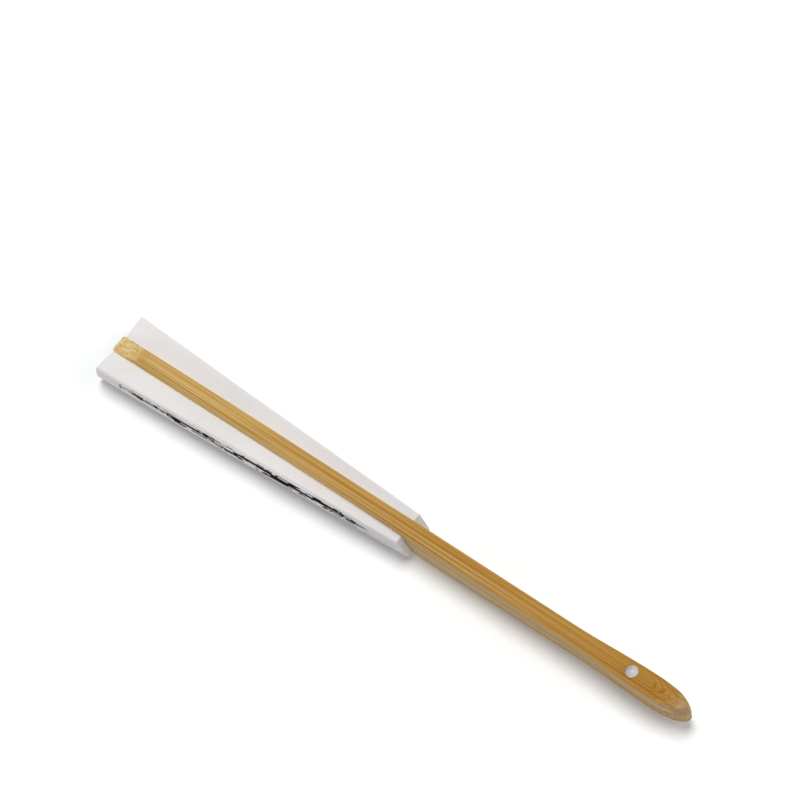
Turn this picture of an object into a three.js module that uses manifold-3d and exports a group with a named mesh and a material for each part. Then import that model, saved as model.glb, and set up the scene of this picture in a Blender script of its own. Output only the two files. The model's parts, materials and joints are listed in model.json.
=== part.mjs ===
// A closed folding fan. Two bamboo guards and a row of bamboo ribs turn on one rivet near
// their rounded nose, and a pleated paper leaf is glued to the thin outer half of every stick.
// Millimetres. +X runs from the nose to the tip and +Z up through the stack of sticks.
import * as THREE from 'three';
import { mergeVertices } from 'three/addons/utils/BufferGeometryUtils.js';
import Module from 'manifold-3d';

const wasm = await Module();
wasm.setup();

// Lengths along the sticks, from the rivet's axis
const pivotToTip = 211;
const pivotToNose = 17;
const pivotToLeaf = 86;
const pivotToSplay = 6;
const noseLength = 12;
const waistLength = 28;
const tipBevelLength = 9;
const ribTipSetback = 6;
const seatTaperLength = 1.5;
const leafEndClearance = 0.4;

// Widths across the sticks and the leaf
const bulgeWidth = 6.6;
const waistWidth = 4.9;
const guardTipWidth = 6.3;
const noseFlatWidth = 0.8;
const slatInnerWidth = 3.6;
const slatTipWidth = 2.4;
const leafInnerWidth = 10.4;
const leafTipWidth = 20.7;

// Layers through the stack
const ribCount = 12;
const leafPitch = 0.69;
const rivetPitch = 0.45;
const layerGap = 0.07;
const glueGap = 0.03;
const paperThickness = 0.12;
const slatThickness = 0.2;
const guardThickness = 2.4;
const guardTipHeight = 0.7;
const guardNoseHeight = 1.5;
const handleSlant = 0.3;
const tipSlant = 1.4;
const tipEndSlant = 0.15;
const slantLimitShare = 0.5;
const handleEdgeShare = 0.66;
const tipEdgeShare = 0.22;

// Rivet
const pinRadius = 1.1;
const boreClearance = 0.08;
const headRadius = 1.83;
const headHeight = 1.4;
const capHeight = 0.6;
const capChamfer = 0.2;
const capFloor = 0.25;

// Smoothness of round stretches
const noseSteps = 9;
const bulgeSteps = 8;
const roundSegments = 32;
const domeSteps = 6;
const arcSteps = 3;

// Places worked out from the sizes above
const noseX = -pivotToNose;
const shoulderX = noseX + noseLength;
const waistX = shoulderX + waistLength;
const seatX = pivotToLeaf - leafEndClearance;
const handleEndX = seatX - seatTaperLength;
const bevelX = pivotToTip - tipBevelLength;
const ribTipX = pivotToTip - ribTipSetback;
const boreRadius = pinRadius + boreClearance;
const paperHalf = paperThickness / 2;
const seatDepth = paperHalf + glueGap;
const lastIndex = ribCount + 1;
const topLayerZ = guardThickness + seatDepth + lastIndex * leafPitch;
const frontOuterZ = topLayerZ + seatDepth + guardThickness;
const slatTop = seatDepth + slatThickness;
const foldLift = (slatTop + leafPitch - paperHalf) / 2;

// Spacing of the layers at a place along the sticks. The rivet draws them together, and they
// splay from there to the leaf, whose paper holds them further apart.
function pitchAt(x) {
  const share = THREE.MathUtils.clamp((x - pivotToSplay) / (handleEndX - pivotToSplay), 0, 1);
  return THREE.MathUtils.lerp(rivetPitch, leafPitch, share);
}

// Height of a layer's middle. The front guard's layer is level and the others close up to it.
function layerZ(index, x) {
  return topLayerZ - (lastIndex - index) * pitchAt(x);
}

// Half the thickness of a stick's layer in the handle.
function handleHalf(x) {
  return (pitchAt(x) - layerGap) / 2;
}

// Underside of the rivet's rear cap, which bears on the rear guard's outer face.
const capZ = layerZ(0, 0) - seatDepth - guardThickness - layerGap - capHeight;

// Bamboo, paper and rivet plastic
const bamboo = () => new THREE.MeshStandardMaterial({ color: 0xb98c43, roughness: 0.5 });
const ribBamboo = () => new THREE.MeshStandardMaterial({ color: 0xa28f6c, roughness: 0.6 });
const paper = () => new THREE.MeshStandardMaterial({ color: 0xe6e1dd, roughness: 0.9 });
const plastic = () => new THREE.MeshStandardMaterial({ color: 0xd9d7d2, roughness: 0.35 });

// A closed solid lofted along X. Each section lists its points anticlockwise as seen from +X.
function loft(sections) {
  const count = sections[0].points.length;
  const positions = sections.flatMap(({ x, points }) => points.flatMap(([y, z]) => [x, y, z]));
  const last = (sections.length - 1) * count;
  const triangles = [];
  for (let ring = 0; ring < last; ring += count) {
    for (let point = 0; point < count; point += 1) {
      const next = (point + 1) % count;
      const [a, b] = [ring + point, ring + next];
      triangles.push(a, b, b + count, a, b + count, a + count);
    }
  }
  for (let point = 1; point < count - 1; point += 1) {
    triangles.push(0, point + 1, point, last, last + point, last + point + 1);
  }
  const geometry = new THREE.BufferGeometry();
  geometry.setAttribute('position', new THREE.Float32BufferAttribute(positions, 3));
  geometry.setIndex(triangles);
  return geometry;
}

// The solid that manifold-3d works on, from a closed geometry.
function solidOf(geometry) {
  const bare = new THREE.BufferGeometry();
  bare.setAttribute('position', geometry.getAttribute('position'));
  bare.setIndex(geometry.getIndex());
  const merged = mergeVertices(bare);
  const mesh = new wasm.Mesh({
    numProp: 3,
    vertProperties: Float32Array.from(merged.getAttribute('position').array),
    triVerts: Uint32Array.from(merged.getIndex().array),
  });
  return new wasm.Manifold(mesh);
}

// A stick with the rivet's hole through it.
function bored(stick) {
  const stackHeight = frontOuterZ + guardThickness;
  const drill = new THREE.CylinderGeometry(boreRadius, boreRadius, 2 * stackHeight, roundSegments);
  drill.rotateX(Math.PI / 2);
  const cut = solidOf(stick).subtract(solidOf(drill)).getMesh();
  const geometry = new THREE.BufferGeometry();
  geometry.setAttribute('position', new THREE.BufferAttribute(cut.vertProperties, 3));
  geometry.setIndex(new THREE.BufferAttribute(cut.triVerts, 1));
  return geometry;
}

// Stations of the rounded handle. A quarter ellipse makes the nose and a cosine the waist.
function handleStations() {
  const bulgeHalf = bulgeWidth / 2;
  const stations = [];
  const firstTurn = Math.asin(noseFlatWidth / bulgeWidth);
  for (let step = 0; step < noseSteps; step += 1) {
    const turn = firstTurn + (Math.PI / 2 - firstTurn) * (step / noseSteps);
    const x = shoulderX - (noseLength * Math.cos(turn)) / Math.cos(firstTurn);
    stations.push({ x, half: bulgeHalf * Math.sin(turn), rise: Math.sin(turn) });
  }
  for (let step = 0; step <= bulgeSteps; step += 1) {
    const share = step / bulgeSteps;
    const ease = (1 + Math.cos(Math.PI * share)) / 2;
    const half = waistWidth / 2 + (bulgeHalf - waistWidth / 2) * ease;
    stations.push({ x: shoulderX + waistLength * share, half, rise: 1 });
  }
  return stations;
}

// Width, slant of the sides and share of their upright part. All change only along the leaf.
function guardShape(x) {
  const share = THREE.MathUtils.clamp((x - seatX) / (pivotToTip - seatX), 0, 1);
  const width = THREE.MathUtils.lerp(waistWidth, guardTipWidth, share);
  const slant = THREE.MathUtils.lerp(handleSlant, tipSlant, share);
  const edgeShare = THREE.MathUtils.lerp(handleEdgeShare, tipEdgeShare, share);
  return { half: width / 2, slant, edgeShare };
}

// A guard. Its sides slant in towards the outer face, more so at the tip, which is bevelled
// down to the leaf, and its inner face steps back beyond the handle for the glued leaf.
function guardGeometry(index, side) {
  const section = (x, inset, height, { half, slant, edgeShare }) => {
    const topHalf = half - Math.min(slant, half * slantLimitShare);
    const seatZ = layerZ(index, x) + side * seatDepth;
    const innerZ = layerZ(index, x) + side * inset;
    const edgeZ = seatZ + side * height * edgeShare;
    const topZ = seatZ + side * height;
    const points = [[-half, innerZ], [half, innerZ], [half, edgeZ], [topHalf, topZ]];
    points.push([-topHalf, topZ], [-half, edgeZ]);
    return { x, points: side > 0 ? points : points.reverse() };
  };
  const sections = handleStations().map(({ x, half, rise }) => {
    const height = THREE.MathUtils.lerp(guardNoseHeight, guardThickness, rise);
    return section(x, -handleHalf(x), height, { ...guardShape(x), half });
  });
  const tip = { ...guardShape(pivotToTip), slant: tipEndSlant };
  sections.push(
    section(handleEndX, -handleHalf(handleEndX), guardThickness, guardShape(handleEndX)),
    section(seatX, seatDepth, guardThickness, guardShape(seatX)),
    section(bevelX, seatDepth, guardThickness, guardShape(bevelX)),
    section(pivotToTip, seatDepth, guardTipHeight, tip),
  );
  return bored(loft(sections));
}

// A rib. It fills its layer in the handle and is shaved to a slat that is glued on the leaf.
function ribGeometry(index) {
  const section = (x, half, low, high) => {
    const [lowZ, highZ] = [layerZ(index, x) + low, layerZ(index, x) + high];
    return { x, points: [[-half, lowZ], [half, lowZ], [half, highZ], [-half, highZ]] };
  };
  const handle = (x, half) => section(x, half, -handleHalf(x), handleHalf(x));
  const slat = (x, width) => section(x, width / 2, seatDepth, slatTop);
  const sections = handleStations().map(({ x, half }) => handle(x, half));
  sections.push(
    handle(handleEndX, waistWidth / 2),
    slat(seatX, slatInnerWidth),
    slat(ribTipX, slatTipWidth),
  );
  return bored(loft(sections));
}

// One flat panel of the leaf between two creases, with both ends as arcs round the rivet.
function panelGeometry(z) {
  const tipTurn = Math.asin(leafTipWidth / 2 / pivotToTip);
  const innerTurn = Math.asin(leafInnerWidth / 2 / pivotToLeaf);
  const outline = new THREE.Shape();
  outline.absarc(0, 0, pivotToTip, -tipTurn, tipTurn, false);
  outline.absarc(0, 0, pivotToLeaf, innerTurn, -innerTurn, true);
  const settings = { depth: paperThickness, bevelEnabled: false, curveSegments: arcSteps };
  const geometry = new THREE.ExtrudeGeometry(outline, settings);
  return geometry.translate(0, 0, z - paperHalf);
}

// A turned piece from a profile of radius and height, with its axis on the rivet's.
function turned(profile) {
  const points = profile.map(([radius, height]) => new THREE.Vector2(radius, height));
  return new THREE.LatheGeometry(points, roundSegments).rotateX(Math.PI / 2);
}

// The rivet's pin with its domed front head. The shank ends inside the rear cap's socket.
function pinGeometry() {
  const headZ = frontOuterZ + layerGap;
  const shankEndZ = capZ + capFloor + layerGap;
  const profile = [[0, shankEndZ], [pinRadius, shankEndZ], [pinRadius, headZ], [headRadius, headZ]];
  for (let step = 1; step <= domeSteps; step += 1) {
    const turn = (Math.PI / 2) * (step / domeSteps);
    const radius = step === domeSteps ? 0 : headRadius * Math.cos(turn);
    profile.push([radius, headZ + headHeight * Math.sin(turn)]);
  }
  return turned(profile);
}

// The rivet's rear cap, a low disc with a socket that takes the shank's end.
function capGeometry() {
  return turned([
    [0, capZ],
    [headRadius - capChamfer, capZ],
    [headRadius, capZ + capChamfer],
    [headRadius, capZ + capHeight],
    [boreRadius, capZ + capHeight],
    [boreRadius, capZ + capFloor],
    [0, capZ + capFloor],
  ]);
}

const fan = new THREE.Group();
fan.position.x = -(pivotToTip - pivotToNose) / 2;

function addPart(name, geometry, material) {
  const mesh = new THREE.Mesh(geometry, material);
  mesh.name = name;
  fan.add(mesh);
}

const numbered = (stem, index) => `${stem}_${String(index).padStart(2, '0')}`;

addPart('rear_guard', guardGeometry(0, -1), bamboo());
addPart('front_guard', guardGeometry(lastIndex, 1), bamboo());
for (let index = 1; index <= ribCount; index += 1) {
  addPart(numbered('rib', index), ribGeometry(index), ribBamboo());
}
for (let index = 0; index <= lastIndex; index += 1) {
  addPart(numbered('leaf_panel', index), panelGeometry(layerZ(index, pivotToLeaf)), paper());
}
for (let index = 0; index < lastIndex; index += 1) {
  const foldZ = layerZ(index, pivotToLeaf) + foldLift;
  addPart(numbered('leaf_fold', index), panelGeometry(foldZ), paper());
}
addPart('rivet_pin', pinGeometry(), plastic());
addPart('rivet_cap', capGeometry(), plastic());

const assembly = new THREE.Group();
assembly.add(fan);

export default assembly;
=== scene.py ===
import json
import math
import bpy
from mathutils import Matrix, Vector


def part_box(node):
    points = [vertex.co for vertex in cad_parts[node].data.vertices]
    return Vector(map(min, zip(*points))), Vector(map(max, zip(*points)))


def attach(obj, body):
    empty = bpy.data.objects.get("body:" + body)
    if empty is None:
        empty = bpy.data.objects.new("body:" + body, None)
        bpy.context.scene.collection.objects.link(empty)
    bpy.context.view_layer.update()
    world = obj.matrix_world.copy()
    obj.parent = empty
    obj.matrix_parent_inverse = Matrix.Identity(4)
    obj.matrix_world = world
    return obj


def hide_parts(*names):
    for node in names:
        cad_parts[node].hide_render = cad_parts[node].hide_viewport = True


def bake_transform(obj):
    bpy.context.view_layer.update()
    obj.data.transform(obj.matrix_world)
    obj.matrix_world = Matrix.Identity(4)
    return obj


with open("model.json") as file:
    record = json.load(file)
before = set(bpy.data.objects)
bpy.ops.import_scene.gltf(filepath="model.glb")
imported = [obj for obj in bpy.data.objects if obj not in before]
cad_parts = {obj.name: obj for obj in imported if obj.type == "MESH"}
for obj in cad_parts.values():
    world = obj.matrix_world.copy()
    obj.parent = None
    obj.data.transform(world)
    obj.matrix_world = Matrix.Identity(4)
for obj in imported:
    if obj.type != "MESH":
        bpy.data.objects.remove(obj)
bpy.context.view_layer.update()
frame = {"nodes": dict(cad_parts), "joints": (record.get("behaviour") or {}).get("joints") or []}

from types import SimpleNamespace

import bpy
import numpy as np
from mathutils import Matrix, Vector

# A closed folding fan: bamboo guards and ribs on one rivet, with a pleated paper leaf.
# All sizes are millimetres. x is measured from the rivet's axis towards the tip.
mm = 0.001
rivetX = frame["joints"][0]["pos_m"][0] / mm
shuffle = np.random.default_rng(11)
print("frame loaded:", len(frame["nodes"]), "nodes")


def nodeBox(node):  # lowest and highest corner of a node
    return [np.array(corner) / mm - (rivetX, 0, 0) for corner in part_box(node)]


def middleZ(node):  # half way up a node
    low, high = nodeBox(node)
    return (low[2] + high[2]) / 2


def numbered(stem, index):  # a node's name, with two digits
    return f"{stem}_{index:02d}"


def lerp(start, end, share):  # straight from start to end
    return start + (end - start) * share


# the stack of layers: 0 is the rear guard, 1 to ribCount the ribs, last the front guard
ribCount = sum(name.startswith("rib_") for name in frame["nodes"])
last = ribCount + 1
panelCount = 2 * last + 1
stickBodies = ["rear_guard"] + [numbered("rib", i + 1) for i in range(ribCount)] + ["front_guard"]
panelZ = np.array([middleZ(numbered("leaf_panel", i)) for i in range(last + 1)])
leafPitch = (panelZ[-1] - panelZ[0]) / last
ribTopFirst = nodeBox(numbered("rib", 1))[1][2]
ribTopLast = nodeBox(numbered("rib", ribCount))[1][2]
rivetPitch = (ribTopLast - ribTopFirst) / (ribCount - 1)
frontTopZ = nodeBox("front_guard")[1][2]
tipX = nodeBox("front_guard")[1][0]
noseX = nodeBox("front_guard")[0][0]

# what guards and ribs share
stick = {
    "splayStart": 6, "handleEnd": 85.7, "seat": 85.9,  # the seat is where the glued leaf starts
    "noseLength": 12, "noseFlat": 0.5, "waistLength": 28, "bulgeWidth": 6.6, "waistWidth": 5.1,
    "rearSquare": 2.07, "frontSquare": 2.29,  # power of the nose's superellipse
    "rearReach": 0.37, "frontReach": 1.06, "bowReach": 0.5,  # how far the nose goes past the solids
    "rearDrift": -0.04, "frontDrift": -0.55,  # the nose's end off the middle line
    "visibleGap": 0.034,
}


def pitchAt(x):  # the layers' spacing grows in a straight line from the rivet to the leaf
    share = np.clip((x - stick["splayStart"]) / (stick["handleEnd"] - stick["splayStart"]), 0, 1)
    return lerp(rivetPitch, leafPitch, share)


def layerZ(index, x):  # the front guard's layer is level and the others close up to it
    return panelZ[-1] - (last - index) * pitchAt(x)


# meshes from whole arrays

def gridQuads(rows, columns, closed):  # every cell of a grid, wrapped round if it is closed
    row = np.arange(rows - 1)[:, None] * columns
    here = np.arange(columns if closed else columns - 1)[None, :]
    there = (here + 1) % columns
    cells = np.stack([row + here, row + there, row + columns + there, row + columns + here], axis=-1)
    return cells.reshape(-1, 4)


def fanCap(ring, centre, outward):  # triangles from a closed ring to one point
    after = np.roll(ring, -1)
    hub = np.full_like(ring, centre)
    return np.stack([ring, after, hub] if outward else [after, ring, hub], axis=-1)


def buildPiece(name, points, faces, finishes, sharpAngle=50):  # smooth, with edges past the angle sharp
    mesh = bpy.data.meshes.new(name)
    placed = (points.reshape(-1, 3) + (rivetX, 0, 0)) * mm
    mesh.from_pydata(placed.tolist(), [], [face for block in faces for face in block.tolist()])
    mesh.update()
    mesh.shade_smooth()
    mesh.set_sharp_from_angle(angle=math.radians(sharpAngle))
    piece = bpy.data.objects.new(name, mesh)
    bpy.context.scene.collection.objects.link(piece)
    for finish in finishes:
        mesh.materials.append(finish)
    return piece


def addUv(piece, uv):  # one place on the flat sheet for each vertex
    layer = piece.data.uv_layers.new(name="flat")
    loops = np.zeros(len(piece.data.loops), dtype=np.int32)
    piece.data.loops.foreach_get("vertex_index", loops)
    layer.data.foreach_set("uv", uv.reshape(-1, 2)[loops].astype(np.float32).ravel())


# A loft along x. Each section is a polygon whose corners are rounded by a parabola that starts and
# ends one rounding length from the corner, or at mostShare of the shorter edge, with a few points on
# the straight edge between.
def roundedLoft(x, corners, rounding, arcPoints=6, mostShare=0.46, edgeShares=(0.06, 0.5, 0.94)):
    toLast = np.roll(corners, 1, axis=1) - corners
    toNext = np.roll(corners, -1, axis=1) - corners
    lengthLast = np.linalg.norm(toLast, axis=2, keepdims=True)
    lengthNext = np.linalg.norm(toNext, axis=2, keepdims=True)
    reach = np.minimum(rounding[..., None], mostShare * np.minimum(lengthLast, lengthNext))
    begin = (corners + toLast / lengthLast * reach)[:, :, None]
    end = (corners + toNext / lengthNext * reach)[:, :, None]
    t = np.linspace(0, 1, arcPoints)[None, None, :, None]
    arc = (1 - t) ** 2 * begin + 2 * t * (1 - t) * corners[:, :, None] + t ** 2 * end
    share = np.array(edgeShares)[None, None, :, None]
    edge = lerp(end, np.roll(begin, -1, axis=1), share)
    ring = np.concatenate([arc, edge], axis=2).reshape(len(x), -1, 2)
    along = np.broadcast_to(x[:, None, None], ring.shape[:2] + (1,))
    return np.concatenate([along, ring], axis=2)


def sections(outline, middleY):  # an outline's corners at every station, about the middle line
    return np.stack([np.stack([y + middleY, z], axis=-1) for y, z in outline], axis=1)


def capped(surface, ends):  # points and faces of a surface of rings, with a point closing each end
    rows, columns = surface.shape[:2]
    count = rows * columns
    first = np.arange(columns)
    faces = [gridQuads(rows, columns, True), fanCap(first, count, False)]
    faces.append(fanCap(first + count - columns, count + 1, True))
    return np.concatenate([surface.reshape(-1, 3), ends]), faces


def addValues(piece, name, values):  # one number for each point of a capped loft, for the finish to read
    values = np.concatenate([values.ravel(), [values[0].mean(), values[-1].mean()]])
    attribute = piece.data.attributes.new(name, "FLOAT", "POINT")
    attribute.data.foreach_set("value", values.astype(np.float32))


# Stations of the rounded handle: a quarter superellipse makes the nose and a cosine the waist. The
# nose's end reaches further and sits more to the far side in the upper layers, and a parabola over the
# layers takes the middle ones further still. rise goes from 0 at the nose's end to 1 at its shoulder.
def handleStations(index, noseSteps=30, waistSteps=26, handleSteps=18):
    bulgeHalf, waistHalf = stick["bulgeWidth"] / 2, stick["waistWidth"] / 2
    shoulderX = noseX + stick["noseLength"]
    waistX = shoulderX + stick["waistLength"]
    up = index / last
    reach, noseDrift, square = (lerp(stick["rear" + key], stick["front" + key], up)
                                for key in ("Reach", "Drift", "Square"))
    noseLength = stick["noseLength"] + reach + stick["bowReach"] * 4 * up * (1 - up)
    power = 2 / square
    firstTurn = math.asin((stick["noseFlat"] / stick["bulgeWidth"]) ** (1 / power))
    turn = np.linspace(firstTurn, math.pi / 2, noseSteps, endpoint=False)
    noseStations = shoulderX - noseLength * (np.cos(turn) / math.cos(firstTurn)) ** power
    share = np.linspace(0, 1, waistSteps)
    ease = (1 + np.cos(math.pi * share)) / 2
    straight = np.linspace(waistX, stick["handleEnd"], handleSteps)[1:]
    x = np.concatenate([noseStations, shoulderX + stick["waistLength"] * share, straight])
    half = np.concatenate([bulgeHalf * np.sin(turn) ** power, lerp(waistHalf, bulgeHalf, ease),
                           np.full(len(straight), waistHalf)])
    rise = np.clip((x - x[0]) / noseLength, 0, 1)
    middleY = noseDrift * (1 - rise) ** 2
    return x, half, rise, middleY


guard = {
    "thickness": 2.4, "seatDepth": 0.09,
    "leafWidth": 4.85, "tipWidth": 5.75, "widthPower": 1.4, "shoulderFade": 15,
    "noseHeight": 1.5, "noseFall": 2.2, "noseRoll": 4.0, "rollDrop": 0.64,
    "handleSlant": 0.08, "nearSlant": 1.4, "farSlant": 0.55, "farPower": 3,
    "handleEdge": 1.2, "tipEdge": 0.45, "mostEdge": 0.65,  # the upright edge, at most a share of the height
    "bevelLength": 12.5, "bevelHeight": 0.42, "bevelScoop": 2.6,
    "tipDrift": 0.52, "driftStart": 100, "driftPower": 1.5,
    "innerRound": 0.1, "edgeRound": 0.5, "handleRound": 0.6, "topRound": 0.28, "noseRound": 1.1,
    "roundFade": 0.125,  # share of the stretch on the leaf where handleRound goes over to topRound
    "tipRound": 0.9, "tipEase": 0.12,
    "cutDelay": 0.4, "cutFade": 2.5, "noseCut": 0.75, "noseCutFade": 0.3,  # where the fibres are cut across
}


# A guard's stations: the handle's, then the stretch on the leaf, whose width grows by a power of the
# way out, and a quarter circle at the tip. drift takes the middle line sideways by a power too.
# shrink goes from 0 to 1 over the quarter circle.
def guardStations(index, drift, leafSteps=40, bevelSteps=34, tipSteps=7):
    x, half, rise, middleY = handleStations(index)
    bevelX, roundX = tipX - guard["bevelLength"], tipX - guard["tipRound"]
    tipTurn = np.linspace(0, math.pi / 2, tipSteps)[1:]
    beyond = np.concatenate([
        np.linspace(stick["seat"], bevelX, leafSteps),
        np.linspace(bevelX, roundX, bevelSteps)[1:],
        tipX - guard["tipRound"] * (1 - np.sin(tipTurn)),
    ])
    share = np.clip((beyond - stick["seat"]) / (tipX - stick["seat"]), 0, 1)
    width = lerp(guard["leafWidth"], guard["tipWidth"], share ** guard["widthPower"])
    fade = np.clip(1 - (beyond - stick["seat"]) / guard["shoulderFade"], 0, 1)
    width = width + (stick["waistWidth"] - guard["leafWidth"]) * fade ** 2
    x = np.concatenate([x, beyond])
    half = np.concatenate([half, width / 2])
    rise = np.concatenate([rise, np.ones(len(beyond))])
    bend = np.clip((x - guard["driftStart"]) / (tipX - guard["driftStart"]), 0, 1)
    middleY = np.concatenate([middleY, np.zeros(len(beyond))]) + drift * bend ** guard["driftPower"]
    shrink = np.concatenate([np.zeros(len(x) - len(tipTurn)), 1 - np.cos(tipTurn)])
    return x, half, rise, middleY, shrink


# A guard: sides lean in towards the outer face, more so at the tip, where a scooped bevel, a power of
# the way back from the tip, runs down to the leaf. The nose falls by a power and rolls over by part of
# a circle. Beyond the handle the inner face steps back for the glued leaf. side is 1 in front, -1 behind.
def guardPiece(index, side, drift, finish):
    x, half, rise, middleY, shrink = guardStations(index, drift)
    share = np.clip((x - stick["seat"]) / (tipX - stick["seat"]), 0, 1)
    down = np.clip((tipX - x) / guard["bevelLength"], 0, 1)
    bevel = lerp(guard["bevelHeight"], guard["thickness"], down ** guard["bevelScoop"])
    roll = np.clip(1 - (x - x[0]) / guard["noseRoll"], 0, 1)
    height = bevel - (guard["thickness"] - guard["noseHeight"]) * (1 - rise) ** guard["noseFall"]
    height = height - guard["rollDrop"] * (1 - np.sqrt(1 - roll ** 2))
    edge = np.minimum(lerp(guard["handleEdge"], guard["tipEdge"], share), height * guard["mostEdge"])
    upright = (height - edge) / (guard["thickness"] - edge)
    nearTop = half - lerp(guard["handleSlant"], guard["nearSlant"], share) * upright
    farTop = half - lerp(guard["handleSlant"], guard["farSlant"], share ** guard["farPower"]) * upright
    inset = np.where(x < stick["seat"], -(pitchAt(x) - stick["visibleGap"]) / 2, guard["seatDepth"])
    layer = layerZ(index, x)
    innerZ = layer + side * (inset + guard["tipEase"] * shrink)
    edgeZ = layer + side * (guard["seatDepth"] + edge)
    topZ = layer + side * (guard["seatDepth"] + height - guard["tipEase"] * shrink)
    half, nearTop, farTop = (reach - guard["tipRound"] * shrink for reach in (half, nearTop, farTop))
    outline = [(-half, innerZ), (half, innerZ), (half, edgeZ)]
    outline += [(nearTop, topZ), (-farTop, topZ), (-half, edgeZ)]
    corners = sections(outline, middleY)
    topRound = lerp(guard["handleRound"], guard["topRound"], np.clip(share / guard["roundFade"], 0, 1))
    topRound = lerp(topRound, guard["noseRound"], (1 - rise) ** 2)
    innerRound = np.full(len(x), guard["innerRound"])
    edgeRound = np.full(len(x), guard["edgeRound"])
    rounding = np.stack([innerRound, innerRound, edgeRound, topRound, topRound, edgeRound], axis=1)
    if side < 0:
        corners, rounding = corners[:, ::-1], rounding[:, ::-1]
    surface = roundedLoft(x, corners, rounding)
    points, faces = capped(surface, surface[[0, -1]].mean(axis=1))
    body = stickBodies[index]
    piece = buildPiece(body + "_bamboo", points, faces, [finish])
    depth = guard["seatDepth"] + guard["thickness"] - side * (surface[..., 2] - layer[:, None])
    lane = surface[..., 1] - middleY[:, None]  # 1 at the outer face's near edge, -1 at its far edge
    lane = np.where(lane > 0, lane / nearTop[:, None], lane / farTop[:, None])
    bevelCut = (x - tipX + guard["bevelLength"] - guard["cutDelay"]) / guard["cutFade"]
    noseCut = (guard["noseCut"] - rise) / guard["noseCutFade"]
    cut = np.clip(np.maximum(bevelCut, noseCut), 0, 1)
    addValues(piece, "depth", depth)
    addValues(piece, "lane", lane)
    addValues(piece, "cutEnd", np.broadcast_to(cut[:, None], depth.shape))
    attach(piece, body)
    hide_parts(body)


rib = {
    "slatInner": 3.6, "slatTip": 2.4, "slatLow": 0.07, "slatHigh": 0.27, "slatSetback": 6,
    "round": 0.05, "noseCut": 0.4, "noseCutFade": 0.3, "arcPoints": 4, "slatSteps": 12,
}


# A rib: it fills its layer in the handle and is shaved to a thin, tapering slat on the leaf.
def ribPiece(index, finish):
    x, half, rise, middleY = handleStations(index)
    slatX = np.linspace(stick["seat"], tipX - rib["slatSetback"], rib["slatSteps"])
    slatHalf = np.linspace(rib["slatInner"], rib["slatTip"], rib["slatSteps"]) / 2
    handleHigh = (pitchAt(x) - stick["visibleGap"]) / 2
    low = np.concatenate([-handleHigh, np.full(len(slatX), rib["slatLow"])])
    high = np.concatenate([handleHigh, np.full(len(slatX), rib["slatHigh"])])
    noseCut = np.clip((rib["noseCut"] - rise) / rib["noseCutFade"], 0, 1)
    cut = np.concatenate([noseCut, np.zeros(len(slatX))])
    x, half = np.concatenate([x, slatX]), np.concatenate([half, slatHalf])
    middleY = np.concatenate([middleY, np.zeros(len(slatX))])
    lowZ, highZ = layerZ(index, x) + low, layerZ(index, x) + high
    corners = sections([(-half, lowZ), (half, lowZ), (half, highZ), (-half, highZ)], middleY)
    surface = roundedLoft(x, corners, np.full(corners.shape[:2], rib["round"]), rib["arcPoints"])
    points, faces = capped(surface, surface[[0, -1]].mean(axis=1))
    body = stickBodies[index]
    piece = buildPiece(body + "_bamboo", points, faces, [finish])
    addValues(piece, "cutEnd", np.broadcast_to(cut[:, None], surface.shape[:2]))
    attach(piece, body)
    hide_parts(body)


# shader wiring

class Wire:  # an output socket in a node tree, whose operators add Math nodes
    def __init__(self, tree, socket=None):
        self.tree = tree
        self.socket = socket

    def node(self, kind, settings=(), sockets=(), out=0):  # any node: settings first, then its sockets
        made = self.tree.nodes.new(kind)
        for key, value in dict(settings).items():
            setattr(made, key, value)
        for key, value in dict(sockets).items():
            if isinstance(value, Wire):
                self.tree.links.new(value.socket, made.inputs[key])
            else:
                made.inputs[key].default_value = value
        return Wire(self.tree, made.outputs[out] if made.outputs else None)

    def maths(self, operation, first, second=0.0):
        return self.node("ShaderNodeMath", {"operation": operation}, {0: first, 1: second})

    def __add__(self, other):
        return self.maths("ADD", self, other)

    def __radd__(self, other):
        return self.maths("ADD", other, self)

    def __sub__(self, other):
        return self.maths("SUBTRACT", self, other)

    def __rsub__(self, other):
        return self.maths("SUBTRACT", other, self)

    def __mul__(self, other):
        return self.maths("MULTIPLY", self, other)

    def __rmul__(self, other):
        return self.maths("MULTIPLY", other, self)

    def __truediv__(self, other):
        return self.maths("DIVIDE", self, other)

    def __pow__(self, other):
        return self.maths("POWER", self, other)

    def __abs__(self):
        return self.maths("ABSOLUTE", self)

    def sine(self):
        return self.maths("SINE", self)

    def larger(self, other):
        return self.maths("MAXIMUM", self, other)

    def ease(self, low, high):  # 0 at low, 1 at high, smooth between
        return self.node("ShaderNodeMapRange", {"interpolation_type": "SMOOTHSTEP"},
                         {"Value": self, "From Min": low, "From Max": high})

    def mix(self, first, second, factor):  # two colours
        return self.node("ShaderNodeMix", {"data_type": "RGBA"}, {0: factor, 6: first, 7: second}, out=2)

    def stretched(self, factors):  # a vector with each axis scaled
        return self.node("ShaderNodeVectorMath", {"operation": "MULTIPLY"}, {0: self, 1: factors})

    def noise(self, waves, detail=2.0, roughness=0.5):  # noise at this place, with waves for each unit
        return self.node("ShaderNodeTexNoise", {}, {"Vector": self.stretched(waves), "Scale": 1.0,
                         "Detail": detail, "Roughness": roughness})

    def axis(self, name):
        return self.node("ShaderNodeSeparateXYZ", {}, {0: self}, out=name)


def tone(red, green, blue):  # a colour as seen on screen, made linear
    screen = np.array([red, green, blue]) / 255
    linear = np.where(screen <= 0.04045, screen / 12.92, ((screen + 0.055) / 1.055) ** 2.4)
    return (*linear.tolist(), 1.0)


def newFinish(name):  # an empty material and the wire that its nodes start from
    finish = bpy.data.materials.new(name)
    finish.use_nodes = True
    finish.node_tree.nodes.clear()
    return finish, Wire(finish.node_tree)


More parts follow.
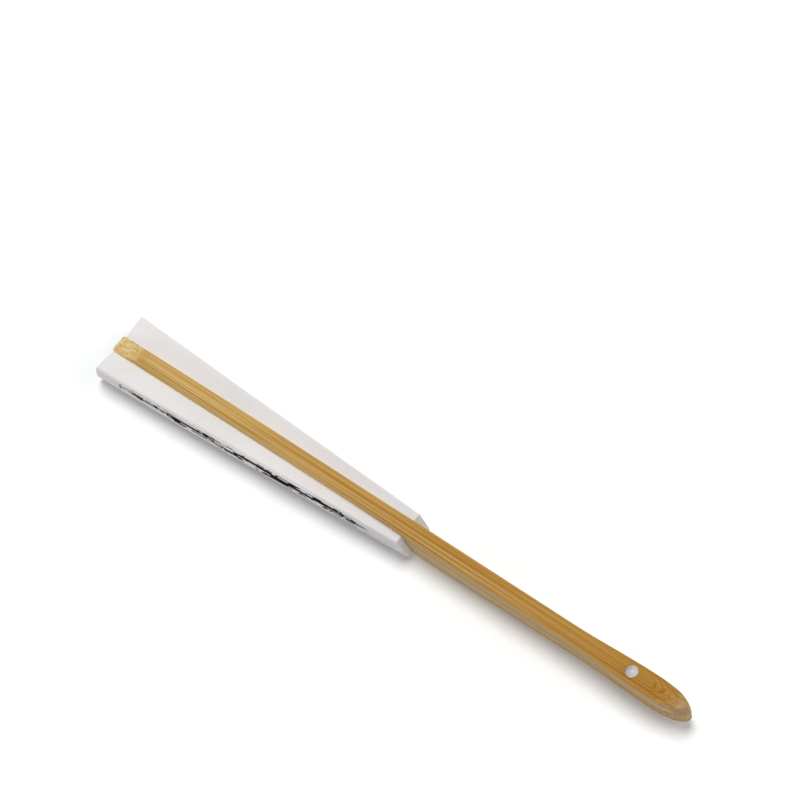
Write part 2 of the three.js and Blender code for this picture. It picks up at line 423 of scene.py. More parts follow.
def endFinish(start, sockets):  # the surface shader, with uniform numbers on its own sockets
    shader = start.node("ShaderNodeBsdfPrincipled", {}, sockets)
    start.node("ShaderNodeOutputMaterial", {}, {"Surface": shader})


def bumped(start, height, distance, strength):  # the normal of a surface raised by height
    return start.node("ShaderNodeBump", {}, {"Height": height, "Distance": distance * mm,
                      "Strength": strength})


def objectPlace(start):  # the point on the object in millimetres
    return start.node("ShaderNodeTexCoord", out="Object").stretched([1 / mm] * 3)


def pointValue(start, name):  # a number that addValues put on the mesh
    return start.node("ShaderNodeAttribute", {"attribute_name": name}, out="Fac")


# Guard bamboo. Noises are waves for each millimetre, then detail and roughness. Most pairs are where a
# change starts and where it is full: along x, across the lane, down from the top or in a noise's value.
fibreLook = {
    "deep": (150, 98, 23), "body": (169, 124, 48), "pale": (203, 169, 103),
    "deepToBody": (0.38, 0.51), "bodyToPale": (0.49, 0.64),
    "broad": ((0.004, 0.9, 0.9), 2.0, 0.5), "fine": ((0.012, 2.2, 2.2), 2.0, 0.6),
    "hair": ((0.03, 5, 5), 1.0), "weights": (0.16, 0.46, 0.26), "level": 0.491,
    "contrast": 0.57, "tipContrast": 0.18, "tipFrom": (100, 190), "calm": 0.4, "calmFrom": (201, 205),
    "thread": ((0.0025, 0.8, 0.8), 1.0), "threadHalf": 0.05, "threadLift": 0.03,
    # the lift from 196 to 201 is painted light on the bevel's start, which its tilt shades
    "lifts": [(60, 110, 0.03), (110, 206, 0.055), (196, 201, 0.02), (8, -8, -0.02)],  # from, full, shift
    "sway": ((0.02, 0.01, 0.01), 2.0), "swayReach": 0.4,
    "lines": [(0.65, 0.15, 0.06), (1.45, 0.13, 0.05), (1.85, 0.5, -0.075), (-1.42, 0.2, 0.01),
              (-1.2, 1.2, 0.007), (-1.85, 0.25, -0.015)],  # y, half width, shift
    "lineCore": 0.1, "broken": ((0.03, 0.9, 0.9), 2.0), "breaks": (0.3, 0.5),
    "onLeaf": (40, 110), "slant": (1.0, 1.15), "slantPaintedLight": 0.075, "slantFade": (230, 130),
    "ridges": [(1.0, 0.04, 0.1), (0.9, 0.06, -0.05), (0.62, 0.03, 0.05)],  # lane, half width, shift
    "ridgeCore": 0.3, "ridgeFade": (199, 193),
    "vein": (196, 172, 132), "veins": [(0.45, 0.3, 0.5), (1.65, 0.4, 0.3)],  # y, half width, share
    "veinCore": 0.2, "veinSway": 0.4, "veinFrom": (-20, 70), "veinFade": (201, 194), "veinFine": (0.3, 0.6),
    "roughness": 0.58, "roughShift": 0.25, "specular": 0.16,
    "bump": 0.03, "bumpStrength": 0.5, "hairBump": 0.5,
}
waveLook = {
    "noise": ((0.3, 0.4, 0.4), 3.0, 0.6), "hoopBend": 1.3, "hoopWave": 1.6,
    "curlBend": 0.6, "curlWave": 7.0, "curlTurns": 2.3,
    "swirlWave": 2.0, "swirl": (0.1, 1.0), "swirlFrom": (-4.5, -8.5), "swirlDepth": 0.09,
}
sideLook = {
    "dark": (156, 127, 81), "pale": (185, 162, 121), "weights": (0.5, 0.5), "darkToPale": (0.4, 0.6),
    "down": (0.12, 0.8), "paintedShadeEdge": (0.7, 1.0), "paintedShadeShare": 0.35, "leafEnd": (104, 98),
    "front": 0.5, "rear": 0.65, "fadeFrom": (40, 84), "fade": 0.3,  # how much of it shows on each guard
}
bevelLook = {
    "arc": (228, 186, 104), "dark": (199, 157, 84), "pale": (227, 206, 157),
    "blotch": ((0.8, 1.7, 1.7), 3.0, 0.6), "darkToPale": (0.35, 0.63), "onTop": (1.06, 0.99),
    "arcTurns": 8.0, "arcPaintedLight": 0.5, "arcDepth": 0.4, "arcFrom": (197, 201), "arcFade": (208, 204),
    "blotchReach": 6.0, "from": (202.5, 206.5), "share": 0.9,
}
noseLook = {
    "dark": (132, 104, 68), "pale": (164, 140, 102),
    "grain": ((2.2, 2.2, 2.8), 2.0, 0.65), "darkToPale": (0.36, 0.64),
    "from": (0, -1), "down": (0.6, 1.7), "grainReach": 1.2, "share": 0.9,
}


# Where a point of a guard lies, and what several patterns share: the fibres' noises, and hoop, the way
# along with the square of the lane and some noise added.
def guardPoint(start):
    place = objectPlace(start)
    here = SimpleNamespace(place=place, along=place.axis("X") - rivetX, across=place.axis("Y"))
    here.depth, here.lane, here.cut = (pointValue(start, key) for key in ("depth", "lane", "cutEnd"))
    here.broad, here.fine, here.hair = (place.noise(*fibreLook[key]) for key in ("broad", "fine", "hair"))
    here.sway = (place.noise(*fibreLook["sway"]) - 0.5) * fibreLook["swayReach"]
    here.wave = place.noise(*waveLook["noise"]) - 0.5
    here.hoop = here.along + here.lane * here.lane * waveLook["hoopBend"] + here.wave * waveLook["hoopWave"]
    return here


# How pale the bamboo is: noise drawn out along x, stronger towards the tip, with single fibre lines at
# their own y, a painted light that makes the near slant paler, and lines along the ridge beside it, the
# pale one on the near ridge a painted highlight. Curled lines darken the nose, by a sine of the way along
# less the square of y.
def guardFibre(here, look):
    broad, fine, hair = look["weights"]
    grain = broad * here.broad + fine * here.fine + hair * here.hair - sum(look["weights"]) / 2
    contrast = look["contrast"] + here.along.ease(*look["tipFrom"]) * look["tipContrast"]
    contrast = contrast - here.along.ease(*look["calmFrom"]) * look["calm"]
    thread = abs(here.place.noise(*look["thread"]) - 0.5).ease(look["threadHalf"], 0.0)
    fibre = look["level"] + grain * contrast + thread * look["threadLift"]
    for begin, full, shift in look["lifts"]:
        fibre = fibre + here.along.ease(begin, full) * shift
    broken = here.place.noise(*look["broken"]).ease(*look["breaks"])
    for y, halfWidth, shift in look["lines"]:
        line = abs(here.across + here.sway - y).ease(halfWidth, halfWidth * look["lineCore"])
        fibre = fibre + line * broken * shift
    onLeaf = here.along.ease(*look["onLeaf"])
    # painted light: the near slant is made paler on the leaf, where it faces away from the key and renders
    # darker
    slant = here.lane.ease(*look["slant"]) * onLeaf * here.along.ease(*look["slantFade"])
    fibre = fibre + slant * look["slantPaintedLight"]
    # painted highlight: the pale line on the near ridge, at lane 1, stands for light caught by the edge; a
    # darker and a paler line lie just inside it
    beforeBevel = onLeaf * here.along.ease(*look["ridgeFade"])
    for lane, halfWidth, shift in look["ridges"]:
        ridge = abs(here.lane - lane).ease(halfWidth, halfWidth * look["ridgeCore"])
        fibre = fibre + ridge * beforeBevel * shift
    bent = here.across * here.across * waveLook["curlBend"]
    curl = here.along - bent + here.wave * waveLook["curlWave"]
    swirl = (curl * waveLook["curlTurns"]).sine() + here.wave * waveLook["swirlWave"]
    swirl = swirl.ease(*waveLook["swirl"]) * here.along.ease(*waveLook["swirlFrom"])
    return fibre - swirl * waveLook["swirlDepth"]


def fibreColour(start, here, fibre, look):  # three tones by the fibre's value, and pale veins over them
    colour = start.mix(tone(*look["deep"]), tone(*look["body"]), fibre.ease(*look["deepToBody"]))
    colour = start.mix(colour, tone(*look["pale"]), fibre.ease(*look["bodyToPale"]))
    shown = here.along.ease(*look["veinFrom"]) * here.along.ease(*look["veinFade"])
    shown = shown * here.fine.ease(*look["veinFine"])
    for y, halfWidth, share in look["veins"]:
        away = abs(here.across + here.sway * look["veinSway"] - y)
        vein = away.ease(halfWidth, halfWidth * look["veinCore"]) * shown
        colour = start.mix(colour, tone(*look["vein"]), vein * share)
    return colour


def sideColour(start, here, colour, sideShare, look):  # greyer bamboo down the handle's sides, and a painted shade along the outer face's near edge
    broad, fine = look["weights"]
    grain = (broad * here.broad + fine * here.fine).ease(*look["darkToPale"])
    sideTone = start.mix(tone(*look["dark"]), tone(*look["pale"]), grain)
    # the side's tone also goes onto the outer face's near edge as a painted shade
    onSide = here.depth.ease(*look["down"]).larger(here.lane.ease(*look["paintedShadeEdge"]) * look["paintedShadeShare"])
    shown = sideShare - here.along.ease(*look["fadeFrom"]) * look["fade"]
    return start.mix(colour, sideTone, onSide * here.along.ease(*look["leafEnd"]) * shown)


# The tip's bevel: golden arcs where it starts, by a sine of the hoop, over a painted light that lightens
# the band whose tilt shades it, then blotches of cut fibres.
def bevelColour(start, here, colour, look):
    onTop = abs(here.lane).ease(*look["onTop"])
    arcs = look["arcPaintedLight"] + (here.hoop * look["arcTurns"]).sine() * look["arcDepth"]
    arcs = arcs * here.along.ease(*look["arcFrom"]) * here.along.ease(*look["arcFade"])
    colour = start.mix(colour, tone(*look["arc"]), arcs * onTop)
    blotch = here.place.noise(*look["blotch"])
    speck = start.mix(tone(*look["dark"]), tone(*look["pale"]), blotch.ease(*look["darkToPale"]))
    onBevel = (here.hoop + blotch * look["blotchReach"]).ease(*look["from"]) * onTop
    return start.mix(colour, speck, onBevel * look["share"])


def noseColour(start, here, colour, look):  # a speckle on the nose's end wall, ragged at its upper edge
    grain = here.place.noise(*look["grain"])
    endTone = start.mix(tone(*look["dark"]), tone(*look["pale"]), grain.ease(*look["darkToPale"]))
    low = (here.depth + (grain - 0.5) * look["grainReach"]).ease(*look["down"])
    onEnd = here.along.ease(*look["from"]) * here.cut * low
    return start.mix(colour, endTone, onEnd * look["share"])


def guardFinish(name, sideShare):  # long fibres, with what shows where the sides, bevel and nose cut them
    finish, start = newFinish(name)
    here = guardPoint(start)
    fibre = guardFibre(here, fibreLook)
    colour = fibreColour(start, here, fibre, fibreLook)
    colour = sideColour(start, here, colour, sideShare, sideLook)
    colour = bevelColour(start, here, colour, bevelLook)
    colour = noseColour(start, here, colour, noseLook)
    rough = fibreLook["roughness"] + (fibre - 0.5) * fibreLook["roughShift"]
    raised = here.fine + here.hair * fibreLook["hairBump"]
    normal = bumped(start, raised, fibreLook["bump"], fibreLook["bumpStrength"])
    endFinish(start, {"Base Color": colour, "Roughness": rough, "Normal": normal,
                      "Specular IOR Level": fibreLook["specular"]})
    return finish


ribLook = {
    "deep": (146, 117, 69), "body": (172, 147, 101), "pale": (200, 183, 144),
    "deepToBody": (0.38, 0.5), "bodyToPale": (0.5, 0.62),
    "broad": ((0.008, 0.5, 0.9), 2.0, 0.5), "fine": ((0.02, 3, 4), 3.0, 0.6), "weights": (0.6, 0.4),
    "cutDark": (136, 108, 68), "cutPale": (178, 154, 112), "cells": ((2.2, 2.2, 2.6), 2.0, 0.6),
    "darkToPale": (0.36, 0.66), "cutFrom": (0.1, 0.8), "cutShare": 0.8,
    "roughness": 0.65, "roughShift": 0.2, "specular": 0.16, "bump": 0.03, "bumpStrength": 0.5,
}


# Rib bamboo: the same fibres, greyer, in bands that run over several layers of the stack, and a speckle
# where the nose cuts them.
def ribFinish(name, look):
    finish, start = newFinish(name)
    place = objectPlace(start)
    fine = place.noise(*look["fine"])
    fibre = look["weights"][0] * place.noise(*look["broad"]) + look["weights"][1] * fine
    colour = start.mix(tone(*look["deep"]), tone(*look["body"]), fibre.ease(*look["deepToBody"]))
    colour = start.mix(colour, tone(*look["pale"]), fibre.ease(*look["bodyToPale"]))
    cells = place.noise(*look["cells"]).ease(*look["darkToPale"])
    speck = start.mix(tone(*look["cutDark"]), tone(*look["cutPale"]), cells)
    cut = pointValue(start, "cutEnd").ease(*look["cutFrom"])
    colour = start.mix(colour, speck, cut * look["cutShare"])
    rough = look["roughness"] + (fibre - 0.5) * look["roughShift"]
    normal = bumped(start, fine, look["bump"], look["bumpStrength"])
    endFinish(start, {"Base Color": colour, "Roughness": rough, "Normal": normal,
                      "Specular IOR Level": look["specular"]})
    return finish


# Paper. Noises are waves over the unfolded leaf, across and out, then detail and roughness.
paperLook = {
    "white": (231, 228, 227), "shade": (224, 221, 220), "inner": (214, 213, 214),
    "cloud": ((12, 4, 0), 4.0, 0.6), "grain": ((900, 250, 0), 3.0, 0.6),
    "weights": (0.6, 0.4), "shadeToWhite": (0.3, 0.6),
    "innerShadeFrom": (0.45, 0.0), "printedInnerShade": 0.9, "plainInnerShade": 0.3,
    "roughness": 0.9, "specular": 0.1, "bump": 0.02, "bumpStrength": 0.35,
}
inkLook = {
    "ink": (20, 19, 21), "wash": (62, 60, 61), "inkToWash": (0.1, 0.25), "washShare": 0.6,
    "torn": ((14, 12, 0), 2.0), "tornReach": 1.6, "bristle": ((160, 20, 0), 2.0, 0.6), "bristleReach": 1.7,
    "outside": -1.0, "edge": (0.14, 0.19), "outerEnd": (0.93, 0.91),
    "stray": ((13.5, 4.5, 0), 3.0, 0.6), "strayReach": 0.34, "stem": (0.05, 0.035), "stemFrom": (0.1, 0.16),
    "gap": ((13.5, 20, 0), 2.0, 0.6), "gaps": (0.54, 0.57), "stemMiddle": 0.42, "stemSpread": (0.4, 0.26),
    "dabs": [  # middle across and out, half width, half length, lean across
        (0.40, 0.84, 0.11, 0.05, 0.9), (0.48, 0.70, 0.14, 0.10, -0.5), (0.36, 0.56, 0.12, 0.07, 0.8),
        (0.52, 0.46, 0.12, 0.08, 0.6), (0.42, 0.33, 0.14, 0.10, -0.6), (0.54, 0.22, 0.12, 0.06, 0.7),
        (0.46, 0.14, 0.10, 0.04, 0.5), (0.24, 0.72, 0.07, 0.04, 0.6), (0.22, 0.40, 0.07, 0.05, -0.5),
        (0.66, 0.60, 0.07, 0.04, 0.7), (0.68, 0.34, 0.06, 0.04, 0.5),
    ],
}


# The printed design: leaning ellipses, one less the squares of the ways across and out, whose edges are
# torn by noise drawn out along the bristles, and thin reed stems that stray about the near creases.
def inkedColour(start, flat, colour, look):
    across, out = flat.axis("X"), flat.axis("Y")
    torn = flat.noise(*look["torn"]) - 0.5
    bristle = flat.noise(*look["bristle"]) - 0.5
    dab = look["outside"]
    for middleAcross, middleOut, halfWidth, halfLength, lean in look["dabs"]:
        outwards = out - middleOut
        sideways = (across - middleAcross - outwards * lean) / halfWidth
        inside = 1 - sideways * sideways - (outwards / halfLength) ** 2
        dab = inside.larger(dab)
    ink = (dab + torn * look["tornReach"] + bristle * look["bristleReach"]).ease(*look["edge"])
    fold = across * (panelCount / 2) - 0.5
    stray = (flat.noise(*look["stray"]) - 0.5) * look["strayReach"]
    shown = flat.noise(*look["gap"]).ease(*look["gaps"])
    shown = shown * abs(across - look["stemMiddle"]).ease(*look["stemSpread"]) * out.ease(*look["stemFrom"])
    stem = abs(fold - start.maths("ROUND", fold) + stray).ease(*look["stem"]) * shown
    ink = ink.larger(stem) * out.ease(*look["outerEnd"])
    washed = bristle.ease(*look["inkToWash"]) * look["washShare"]
    return start.mix(colour, start.mix(tone(*look["ink"]), tone(*look["wash"]), washed), ink)


def paperFinish(name, look, printed):  # faint clouds and fibres on the flat sheet, and a painted shade that greys its inner end
    finish, start = newFinish(name)
    flat = start.node("ShaderNodeUVMap", {"uv_map": "flat"})
    grain = flat.noise(*look["grain"])
    clouded = look["weights"][0] * flat.noise(*look["cloud"]) + look["weights"][1] * grain
    colour = start.mix(tone(*look["shade"]), tone(*look["white"]), clouded.ease(*look["shadeToWhite"]))
    # painted shade: the sheet greys towards its inner end, beside the handle, more on the printed face
    inner = flat.axis("Y").ease(*look["innerShadeFrom"]) * look["printedInnerShade" if printed else "plainInnerShade"]
    colour = start.mix(colour, tone(*look["inner"]), inner)
    if printed:
        colour = inkedColour(start, flat, colour, inkLook)
    normal = bumped(start, grain, look["bump"], look["bumpStrength"])
    endFinish(start, {"Base Color": colour, "Roughness": look["roughness"], "Normal": normal,
                      "Specular IOR Level": look["specular"]})
    return finish


leaf = {
    "innerRadius": 86, "innerNear": 5.16, "innerFar": 5.35, "tipNear": 10.74, "tipFar": 10.4,
    "innerDraw": 0.3, "tipDraw": 0.12, "belly": 0.45, "bellyPower": 1.4,
    "waves": [(1.2, 1.0), (2.9, 0.6)], "wander": 0.05, "offset": 0.05,  # waves along a crease, and weights
    "nearLoop": 0.2, "farLoop": 0.19, "loopShare": 0.02,  # a loop's radii, and half its share of a panel
    "topRadius": 211.15, "tipSkew": 0.2, "tipNotch": 1.25, "bulge": 5.3, "bulgeFull": 1.25,
    "topCorner": 0.15, "lowCorner": 0.35, "cornerFull": 0.3, "lastCorner": 0.6, "lastStart": 0.75,
    "thickness": 0.12, "rimThickness": 0.27, "creaseRim": 1.6, "endRim": 3.5, "endFade": 2,
    "spareInner": 2.8, "spareTip": 3.7, "spareFade": 0.5, "rimSteps": 10,  # kept thin beside the stick
    "radialSteps": 100, "flatSteps": 20, "loopSteps": 10,
}
radialShare = np.linspace(0, 1, leaf["radialSteps"])
creasePhase = shuffle.random((2, last + 1, 3))


# The tip's radius swells from the top panel down to the lowest by part of a sine, and grows in a
# straight line from the far side to the near. Each tip edge falls back in a straight line from the
# creases to the stick. The inner end has its near corner rounded off by part of a circle, more so below
# the top panel.
def leafRadius(u, innerY):
    down = np.clip((panelCount - 0.5 - u) / panelCount, 0, 1)
    swell = np.sin(math.pi / 2 * np.clip(down / leaf["bulgeFull"], 0, 1))
    besideGuard = np.clip(1 - np.abs(innerY) / leaf["innerNear"], 0, 1)
    tip = leaf["topRadius"] + leaf["bulge"] * swell + leaf["tipSkew"] * innerY / leaf["innerNear"]
    tip = tip - leaf["tipNotch"] * besideGuard
    corner = lerp(leaf["topCorner"], leaf["lowCorner"], np.clip(down / leaf["cornerFull"], 0, 1))
    low = np.clip((down - leaf["lastStart"]) / (1 - leaf["lastStart"]), 0, 1)
    corner = corner + leaf["lastCorner"] * low
    into = np.clip((innerY - innerY.max()) / corner + 1, 0, 1)
    inner = leaf["innerRadius"] + corner * (1 - np.sqrt(1 - into ** 2))
    return inner + radialShare[:, None] * (tip - inner)


# How far a crease lies from the middle line: straight, wandering a little by two sines. The lower near
# creases draw in at both ends and swell between, by a sine of a power of the way out.
def creaseHalf(side, index):
    farSide = side == "Far"
    phase = creasePhase[int(farSide), index]
    wave = sum(weight * np.sin(2 * math.pi * (count * radialShare + phase[i]))
               for i, (count, weight) in enumerate(leaf["waves"]))
    drift = leaf["wander"] * wave + leaf["offset"] * (2 * phase[-1] - 1)
    half = lerp(leaf["inner" + side], leaf["tip" + side], radialShare) + drift
    if farSide:
        return half
    swell = np.sin(math.pi * radialShare ** leaf["bellyPower"])
    drawIn = lerp(leaf["innerDraw"], leaf["tipDraw"], radialShare)
    return half + (leaf["belly"] * swell - drawIn) * (1 - index / last)


def sharpRim(piece, rows, columns):  # keeps the sheet's outer edges crisp when it gets its thickness
    mesh = piece.data
    ends = np.zeros(2 * len(mesh.edges), dtype=np.int32)
    mesh.edges.foreach_get("vertices", ends)
    row, column = np.divmod(ends.reshape(-1, 2), columns)
    endRow = (row == 0).all(axis=1) | (row == rows - 1).all(axis=1)
    endColumn = (column == 0).all(axis=1) | (column == columns - 1).all(axis=1)
    mesh.edges.foreach_set("use_edge_sharp", endRow | endColumn)


# The sheet is thicker where it is cut or creased, fading in a straight line away from the edge. Near its
# two cut ends that spares the middle, where the sticks lie.
def swellRim(piece, y):
    edgeGap = np.minimum(y.max(axis=1, keepdims=True) - y, y - y.min(axis=1, keepdims=True))
    length = leaf["topRadius"] - leaf["innerRadius"]
    endGap = np.minimum(radialShare, 1 - radialShare)[:, None] * length
    spare = lerp(leaf["spareInner"], leaf["spareTip"], radialShare)[:, None]
    beside = np.clip((np.abs(y) - spare) / leaf["spareFade"], 0, 1)
    atEnd = np.clip((leaf["endRim"] - endGap) / leaf["endFade"], 0, 1)
    weight = np.maximum(np.clip(leaf["creaseRim"] - edgeGap, 0, 1), atEnd * beside)
    steps = np.round(weight.ravel() * leaf["rimSteps"]).astype(int)
    group = piece.vertex_groups.new(name="rim")
    for step in np.unique(steps):
        group.add(np.flatnonzero(steps == step).tolist(), step / leaf["rimSteps"], "REPLACE")


# One sheet on a grid of ways out and places across: u counts panels over the unfolded leaf, y and z
# place the fold, and x follows from the radius. Solidify gives it its thickness.
def leafPiece(name, u, y, z, finishes):
    radius = leafRadius(u, y[0])
    x = np.sqrt(radius ** 2 - y ** 2)
    points = np.stack([x, y, np.broadcast_to(z, x.shape)], axis=-1)
    rows, columns = x.shape
    piece = buildPiece(name, points, [gridQuads(rows, columns, False)], finishes, sharpAngle=180)
    sharpRim(piece, rows, columns)
    share = np.broadcast_to(radialShare[:, None], x.shape)
    flatU = np.broadcast_to((u + 0.5) / panelCount, x.shape)
    addUv(piece, np.stack([flatU, share], axis=-1))
    swellRim(piece, y)
    skin = piece.modifiers.new("paper", "SOLIDIFY")
    skin.thickness = leaf["rimThickness"] * mm
    skin.vertex_group = "rim"
    skin.thickness_vertex_group = leaf["thickness"] / leaf["rimThickness"]
    skin.offset = 0
    skin.use_even_offset = True
    skin.material_offset = 1
    skin.material_offset_rim = 2
    length = float(radius[-1].mean() - radius[0].mean())
    return piece


# A ribbed panel: flat across its stick, with a half round loop up from its near edge to the fold
# above and another down from its far edge to the fold below.
def panelPiece(index, finishes):
    near, far = leaf["nearLoop"], leaf["farLoop"]
    nearY = creaseHalf("Near", index)[:, None] - near
    farY = far - creaseHalf("Far", index)[:, None]
    turn = np.linspace(0, math.pi, leaf["loopSteps"])
    loopU = leaf["loopShare"] * (turn / math.pi * 2 - 1)
    flatShare = np.linspace(0, 1, leaf["flatSteps"])
    flatU = lerp(leaf["loopShare"] - 0.5, 0.5 - leaf["loopShare"], flatShare)
    blocks = [(flatU, lerp(farY, nearY, flatShare[None, :]), np.zeros(len(flatShare)))]
    if index > 0:
        loopY = farY - far * np.sin(turn)[None, :]
        blocks.insert(0, (loopU - 0.5, loopY, -far * (1 + np.cos(turn))))
    if index < last:
        loopY = nearY + near * np.sin(turn)[None, :]
        blocks.append((loopU + 0.5, loopY, near * (1 - np.cos(turn))))
    joined = [blocks[0]] + [(u[1:], y[:, 1:], z[1:]) for u, y, z in blocks[1:]]  # shared columns once
    u, y, z = (np.concatenate(part, axis=-1) for part in zip(*joined))
    node = numbered("leaf_panel", index)
    body = stickBodies[index]
    piece = leafPiece(node + "_paper", 2 * index + u, y, panelZ[index] + z, finishes)
    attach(piece, body)
    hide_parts(node)


# A free fold between two ribbed panels. Its height follows the inverse of t * t * (3 - 2 * t) across it.
def foldPiece(index, finishes):
    near, far = leaf["nearLoop"], leaf["farLoop"]
    t = np.linspace(0, 1, 2 * leaf["flatSteps"])
    nearY = (creaseHalf("Near", index) - near)[:, None]
    farY = (far - creaseHalf("Far", index + 1))[:, None]
    y = lerp(nearY, farY, t[None, :])
    highZ, lowZ = panelZ[index] + 2 * near, panelZ[index + 1] - 2 * far
    z = lerp(highZ, lowZ, 0.5 - np.sin(np.arcsin(1 - 2 * t) / 3))
    u = 2 * index + lerp(0.5 + leaf["loopShare"], 1.5 - leaf["loopShare"], t)
    node = numbered("leaf_fold", index)
    piece = leafPiece(node + "_paper", u, y, z, finishes)
    highZ * mm
    lowZ * mm
    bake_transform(piece)
    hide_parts(node)


rivet = {
    "pinRadius": 1.1, "headRadius": 1.83, "headHeight": 1.4, "rim": 0.32,
    "nubRadius": 0.26, "nubHeight": 0.08, "nubEdge": 0.4, "capRound": 0.2,
    "turns": 72, "domeSteps": 22, "rimSteps": 6, "capSteps": 8,
}
rivetLook = {
    "body": (181, 179, 178), "shade": (169, 167, 166), "shadeToBody": (0.3, 0.55),
    "cloud": ((0.6, 0.6, 0.6), 3.0), "grain": ((9, 9, 9), 2.0),
    "roughness": 0.42, "roughShift": 0.15, "bump": 0.01, "bumpStrength": 0.3, "ior": 1.5,
}


def turnedPiece(name, profile, finish):  # a profile of radius and height carried round the rivet's axis
    turn = np.linspace(0, 2 * math.pi, rivet["turns"], endpoint=False)
    inner = profile[1:-1]
    ring = inner[:, None, 0, None] * np.stack([np.cos(turn), np.sin(turn)], axis=-1)[None]
    height = np.broadcast_to(inner[:, None, 1, None], ring.shape[:2] + (1,))
    poles = np.array([[0, 0, profile[0, 1]], [0, 0, profile[-1, 1]]])
    points, faces = capped(np.concatenate([ring, height], axis=2), poles)
    piece = buildPiece(name, points, faces, [finish], sharpAngle=40)
    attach(piece, "rear_guard")
    return piece


# The pin: a plain shank, a short round rim and a low dome, a quarter ellipse, with a small moulding nub.
def pinPiece(finish):
    shankZ = nodeBox("rivet_pin")[0][2]
    rim, radius = rivet["rim"], rivet["headRadius"]
    rimTurn = np.linspace(-math.pi / 2, 0, rivet["rimSteps"])
    rimRadius = radius - rim + rim * np.cos(rimTurn)
    rimPart = np.stack([rimRadius, frontTopZ + rim + rim * np.sin(rimTurn)], axis=-1)
    domeTurn = np.linspace(0, math.pi / 2, rivet["domeSteps"])[1:]
    domeRadius = radius * np.cos(domeTurn)
    domeZ = frontTopZ + rim + (rivet["headHeight"] - rim) * np.sin(domeTurn)
    nub = (rivet["nubRadius"] - domeRadius) / (rivet["nubEdge"] * rivet["nubRadius"])
    nub = np.clip(nub, 0, 1)
    dome = np.stack([domeRadius, domeZ + rivet["nubHeight"] * nub * nub * (3 - 2 * nub)], axis=-1)
    shank = np.array([[0, shankZ], [rivet["pinRadius"], shankZ], [rivet["pinRadius"], frontTopZ]])
    piece = turnedPiece("rivet_pin_moulded", np.concatenate([shank, rimPart, dome]), finish)
    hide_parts("rivet_pin")


# The rear cap: a low disc whose outer edge is rounded by a quarter circle.
def capPiece(finish):
    low, high = (corner[2] for corner in nodeBox("rivet_cap"))
    turn = np.linspace(0, math.pi / 2, rivet["capSteps"])
    edge, radius = rivet["capRound"], rivet["headRadius"]
    rounded = np.stack([radius - edge + edge * np.sin(turn), low + edge - edge * np.cos(turn)], axis=-1)
    profile = np.concatenate([[[0, low]], rounded, [[radius, high], [0, high]]])
    piece = turnedPiece("rivet_cap_moulded", profile, finish)
    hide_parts("rivet_cap")


def plasticFinish(name, look):  # satin plastic, slightly clouded
    finish, start = newFinish(name)
    place = objectPlace(start)
    grain = place.noise(*look["grain"])
    cloud = place.noise(*look["cloud"]).ease(*look["shadeToBody"])
    colour = start.mix(tone(*look["shade"]), tone(*look["body"]), cloud)
    rough = look["roughness"] + (grain - 0.5) * look["roughShift"]
    normal = bumped(start, grain, look["bump"], look["bumpStrength"])
    endFinish(start, {"Base Color": colour, "Roughness": rough, "Normal": normal, "IOR": look["ior"]})
    return finish


# build the fan
frontBamboo = guardFinish("front guard bamboo", sideLook["front"])
rearBamboo = guardFinish("rear guard bamboo", sideLook["rear"])
ribBamboo = ribFinish("rib bamboo", ribLook)
printedPaper = paperFinish("printed paper", paperLook, True)
plainPaper = paperFinish("plain paper", paperLook, False)
leafFinishes = [printedPaper, plainPaper, plainPaper]  # the printed face, the other face, the cut edges
rivetPlastic = plasticFinish("rivet plastic", rivetLook)
guardPiece(0, -1, 0, rearBamboo)
guardPiece(last, 1, guard["tipDrift"], frontBamboo)
for stickIndex in range(1, last):
    ribPiece(stickIndex, ribBamboo)
print("sticks made:", last + 1)
for panelIndex in range(last + 1):
    panelPiece(panelIndex, leafFinishes)
for foldIndex in range(last):
    foldPiece(foldIndex, leafFinishes)
print("leaf made:", panelCount, "panels")
pinPiece(rivetPlastic)
capPiece(rivetPlastic)
print("rivet made")

# floor, light and camera
stage = {
    "floorSize": 6000, "floorDrop": 0.03, "fill": 0.2,
    "floorTone": 0.8, "shownTone": (0.976, 0.99, 1.0), "lift": 0.06,  # as it lights the fan, as it is seen
    "lamps": {  # place seen from the fan, brightness of a white face square to it, angle across
        "key": ((-0.03, -0.21, 0.97), 0.64, 28),
        "near": ((-0.5, 0.85, 0.15), 0.47, 40),
        "nose": ((-0.85, -0.45, 0.28), 0.42, 50),
    },
}
lens = {
    "focal": 135, "sensor": 36, "azimuth": -110.4836, "elevation": 52.8783, "roll": -33.2841,
    "distance": 870.67, "aim": (19.616, -30.872, 11.52), "clipStart": 50, "clipEnd": 50000,
}
white = (1, 1, 1, 1)


def seenRays(start):  # 1 for rays that show the surface itself: camera, glossy and transmitted
    camera, glossy, through = (start.node("ShaderNodeLightPath", out=f"Is {kind} Ray")
                               for kind in ("Camera", "Glossy", "Transmission"))
    return camera.larger(glossy).larger(through)


def layFloor():  # a pale sheet that shows white where no shadow falls
    half = stage["floorSize"] / 2
    corner = np.array([[-half, -half], [half, -half], [half, half], [-half, half]])
    points = np.concatenate([corner, np.full((4, 1), -stage["floorDrop"])], axis=1)
    finish, start = newFinish("floor white")
    dull = start.node("ShaderNodeBsdfDiffuse", {}, {"Color": (*[stage["floorTone"]] * 3, 1)})
    shown = start.node("ShaderNodeBsdfDiffuse", {}, {"Color": (*stage["shownTone"], 1)})
    glow = start.node("ShaderNodeEmission", {}, {"Color": white, "Strength": stage["lift"]})
    lit = start.node("ShaderNodeAddShader", {}, {0: shown, 1: glow})
    surface = start.node("ShaderNodeMixShader", {}, {0: seenRays(start), 1: dull, 2: lit})
    start.node("ShaderNodeOutputMaterial", {}, {"Surface": surface})
    floor = buildPiece("floor", points, [np.array([[0, 1, 2, 3]])], [finish])


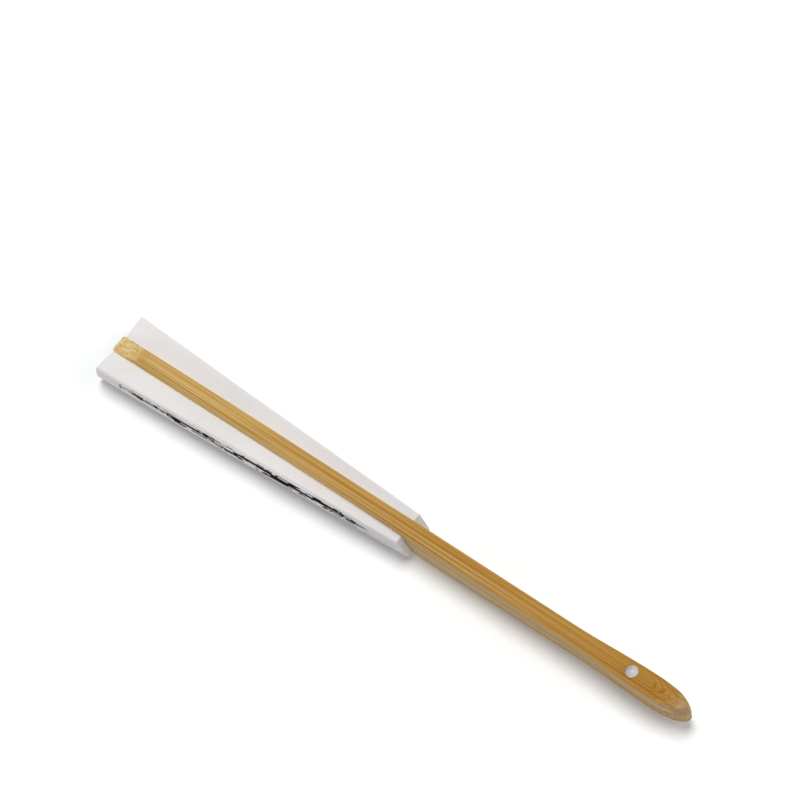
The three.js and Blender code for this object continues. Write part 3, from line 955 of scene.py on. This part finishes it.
def lightWorld():  # even fill light, seen as white
    world = bpy.data.worlds.new("studio")
    bpy.context.scene.world = world
    world.use_nodes = True
    world.node_tree.nodes.clear()
    start = Wire(world.node_tree)
    fill = start.node("ShaderNodeBackground", {}, {"Color": white, "Strength": stage["fill"]})
    seen = start.node("ShaderNodeBackground", {}, {"Color": white, "Strength": 1.0})
    both = start.node("ShaderNodeMixShader", {}, {0: seenRays(start), 1: fill, 2: seen})
    start.node("ShaderNodeOutputWorld", {}, {"Surface": both})


def hangLamps():  # a soft key from above the far side, weaker ones low on the near side and at the nose
    for name, (place, level, angle) in stage["lamps"].items():
        lamp = bpy.data.lights.new(name, "SUN")
        lamp.energy = level * math.pi
        lamp.angle = math.radians(angle)
        hung = bpy.data.objects.new(name, lamp)
        hung.rotation_euler = (-Vector(place)).to_track_quat("-Z", "Y").to_euler()
        bpy.context.scene.collection.objects.link(hung)


def placeCamera():  # looks down on the fan from the nose's side, rolled so that it lies aslant
    azimuth, elevation, roll = (math.radians(lens[key]) for key in ("azimuth", "elevation", "roll"))
    flatBack = Vector((math.sin(azimuth), -math.cos(azimuth), 0))
    back = flatBack * math.cos(elevation) + Vector((0, 0, math.sin(elevation)))
    right = Vector((0, 0, 1)).cross(back).normalized()
    up = back.cross(right)
    rolledRight = right * math.cos(roll) + up * math.sin(roll)
    rolledUp = up * math.cos(roll) - right * math.sin(roll)
    data = bpy.data.cameras.new("camera")
    data.lens, data.sensor_width = lens["focal"], lens["sensor"]
    data.clip_start, data.clip_end = lens["clipStart"] * mm, lens["clipEnd"] * mm
    camera = bpy.data.objects.new("camera", data)
    turn = Matrix((rolledRight, rolledUp, back)).transposed()
    place = (Vector(lens["aim"]) + back * lens["distance"]) * mm
    camera.matrix_world = Matrix.Translation(place) @ turn.to_4x4()
    bpy.context.scene.collection.objects.link(camera)
    bpy.context.scene.camera = camera


layFloor()
lightWorld()
hangLamps()
placeCamera()
bpy.context.scene.view_settings.view_transform = "Standard"
print("stage set")
